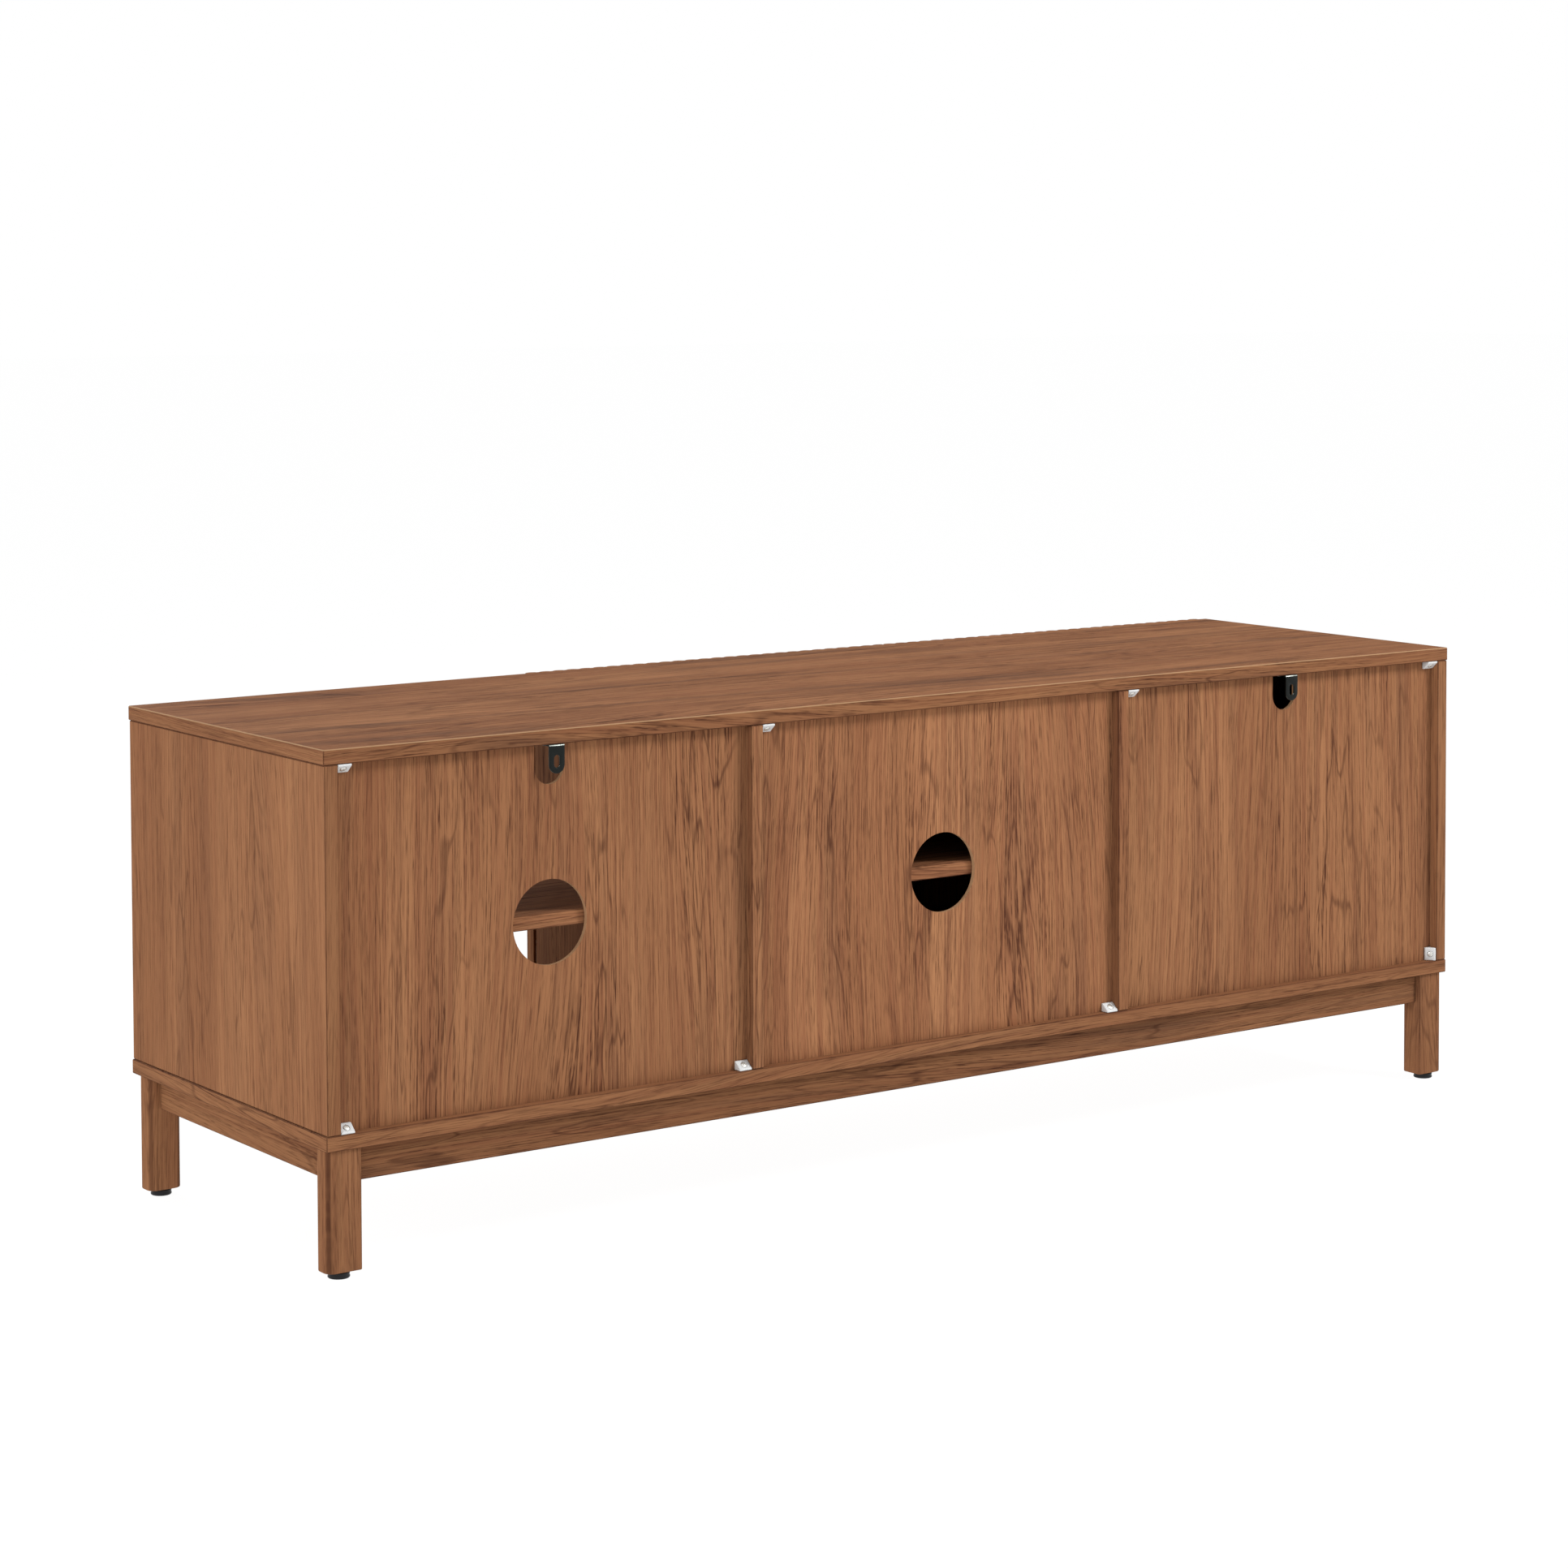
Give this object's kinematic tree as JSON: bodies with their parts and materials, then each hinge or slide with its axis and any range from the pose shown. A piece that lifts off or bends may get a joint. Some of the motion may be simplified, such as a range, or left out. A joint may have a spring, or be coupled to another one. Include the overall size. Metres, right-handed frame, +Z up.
{
  "type": "media cabinet",
  "caption": "Low walnut-look media cabinet with an open bay, two reeded doors, cable holes and short legs, seen from its back.",
  "frame": {"origin": "on the floor under the middle of the bounding box", "axes": "+Z up, -Y towards the viewer of the doors, +X to that viewer's right"},
  "size_m": [1.6, 0.4774, 0.548],
  "materials": {
    "walnut_top": "satin walnut-grain laminate",
    "walnut_boards": "satin walnut-grain laminate",
    "walnut_backs": "satin walnut-grain laminate",
    "walnut_doors": "satin, reeded walnut",
    "walnut_base": "satin stained wood",
    "black_plastic": "matt black plastic",
    "hinge_nickel": "nickel-plated steel",
    "pale_grey_plastic": "satin pale grey plastic",
    "black_steel": "black zinc-plated steel",
    "zinc_bolts": "zinc-plated steel",
    "bright_screws": "zinc-plated steel"
  },
  "bodies": {
    "cabinet": {"apron_front": "walnut_base", "apron_left": "walnut_base", "apron_rear": "walnut_base", "apron_right": "walnut_base", "back_clip_left_bottom": "pale_grey_plastic", "back_clip_left_top_inner": "pale_grey_plastic", "back_clip_left_top_outer": "pale_grey_plastic", "back_clip_middle_bottom": "pale_grey_plastic", "back_clip_middle_top": "pale_grey_plastic", "back_clip_right_bottom_inner": "pale_grey_plastic", "back_clip_right_bottom_outer": "pale_grey_plastic", "back_clip_right_top": "pale_grey_plastic", "back_panel_left": "walnut_backs", "back_panel_middle": "walnut_backs", "back_panel_right": "walnut_backs", "bottom_panel": "walnut_boards", "bracket_screw_left": "bright_screws", "bracket_screw_right": "bright_screws", "hinge_arm_left_lower": "hinge_nickel", "hinge_arm_left_upper": "hinge_nickel", "hinge_arm_right_lower": "hinge_nickel", "hinge_arm_right_upper": "hinge_nickel", "hinge_plate_left_lower": "hinge_nickel", "hinge_plate_left_upper": "hinge_nickel", "hinge_plate_right_lower": "hinge_nickel", "hinge_plate_right_upper": "hinge_nickel", "latch_body_left": "pale_grey_plastic", "latch_body_right": "pale_grey_plastic", "leg_bolt_front_left": "zinc_bolts", "leg_bolt_front_right": "zinc_bolts", "leg_bolt_rear_left": "zinc_bolts", "leg_bolt_rear_right": "zinc_bolts", "leg_front_left": "walnut_base", "leg_front_right": "walnut_base", "leg_rear_left": "walnut_base", "leg_rear_right": "walnut_base", "partition_left": "walnut_boards", "partition_right": "walnut_boards", "shelf_left": "walnut_boards", "shelf_middle": "walnut_boards", "shelf_right": "walnut_boards", "side_panel_left": "walnut_boards", "side_panel_right": "walnut_boards", "top_panel": "walnut_top", "wall_bracket_left": "black_steel", "wall_bracket_right": "black_steel"},
    "door_left": {"door_left": "walnut_doors", "hinge_cup_left_lower": "hinge_nickel", "hinge_cup_left_upper": "hinge_nickel"},
    "plunger_left": {"latch_plunger_left": "pale_grey_plastic"},
    "door_right": {"door_right": "walnut_doors", "hinge_cup_right_lower": "hinge_nickel", "hinge_cup_right_upper": "hinge_nickel"},
    "plunger_right": {"latch_plunger_right": "pale_grey_plastic"},
    "foot_front_left": {"foot_front_left": "black_plastic"},
    "foot_front_right": {"foot_front_right": "black_plastic"},
    "foot_rear_left": {"foot_rear_left": "black_plastic"},
    "foot_rear_right": {"foot_rear_right": "black_plastic"}
  },
  "joints": [
    {"name": "door_left_hinge", "type": "hinge", "parent": "cabinet", "child": "door_left", "pos_m": [-0.7905, -0.22995, 0.3415], "axis": [0, 0, -1], "range_deg": [0, 95]},
    {"name": "door_right_hinge", "type": "hinge", "parent": "cabinet", "child": "door_right", "pos_m": [0.26217, -0.22995, 0.3415], "axis": [0, 0, 1], "range_deg": [0, 95]},
    {"name": "plunger_left_slide", "type": "slide", "parent": "cabinet", "child": "plunger_left", "axis": [0, 1, 0], "range_m": [0, 0.004], "stiffness_N_per_m": 150},
    {"name": "plunger_right_slide", "type": "slide", "parent": "cabinet", "child": "plunger_right", "axis": [0, 1, 0], "range_m": [0, 0.004], "stiffness_N_per_m": 150},
    {"name": "foot_front_left_slide", "type": "slide", "parent": "cabinet", "child": "foot_front_left", "axis": [0, 0, -1], "range_m": [0, 0.008]},
    {"name": "foot_front_right_slide", "type": "slide", "parent": "cabinet", "child": "foot_front_right", "axis": [0, 0, -1], "range_m": [0, 0.008]},
    {"name": "foot_rear_left_slide", "type": "slide", "parent": "cabinet", "child": "foot_rear_left", "axis": [0, 0, -1], "range_m": [0, 0.008]},
    {"name": "foot_rear_right_slide", "type": "slide", "parent": "cabinet", "child": "foot_rear_right", "axis": [0, 0, -1], "range_m": [0, 0.008]}
  ]
}
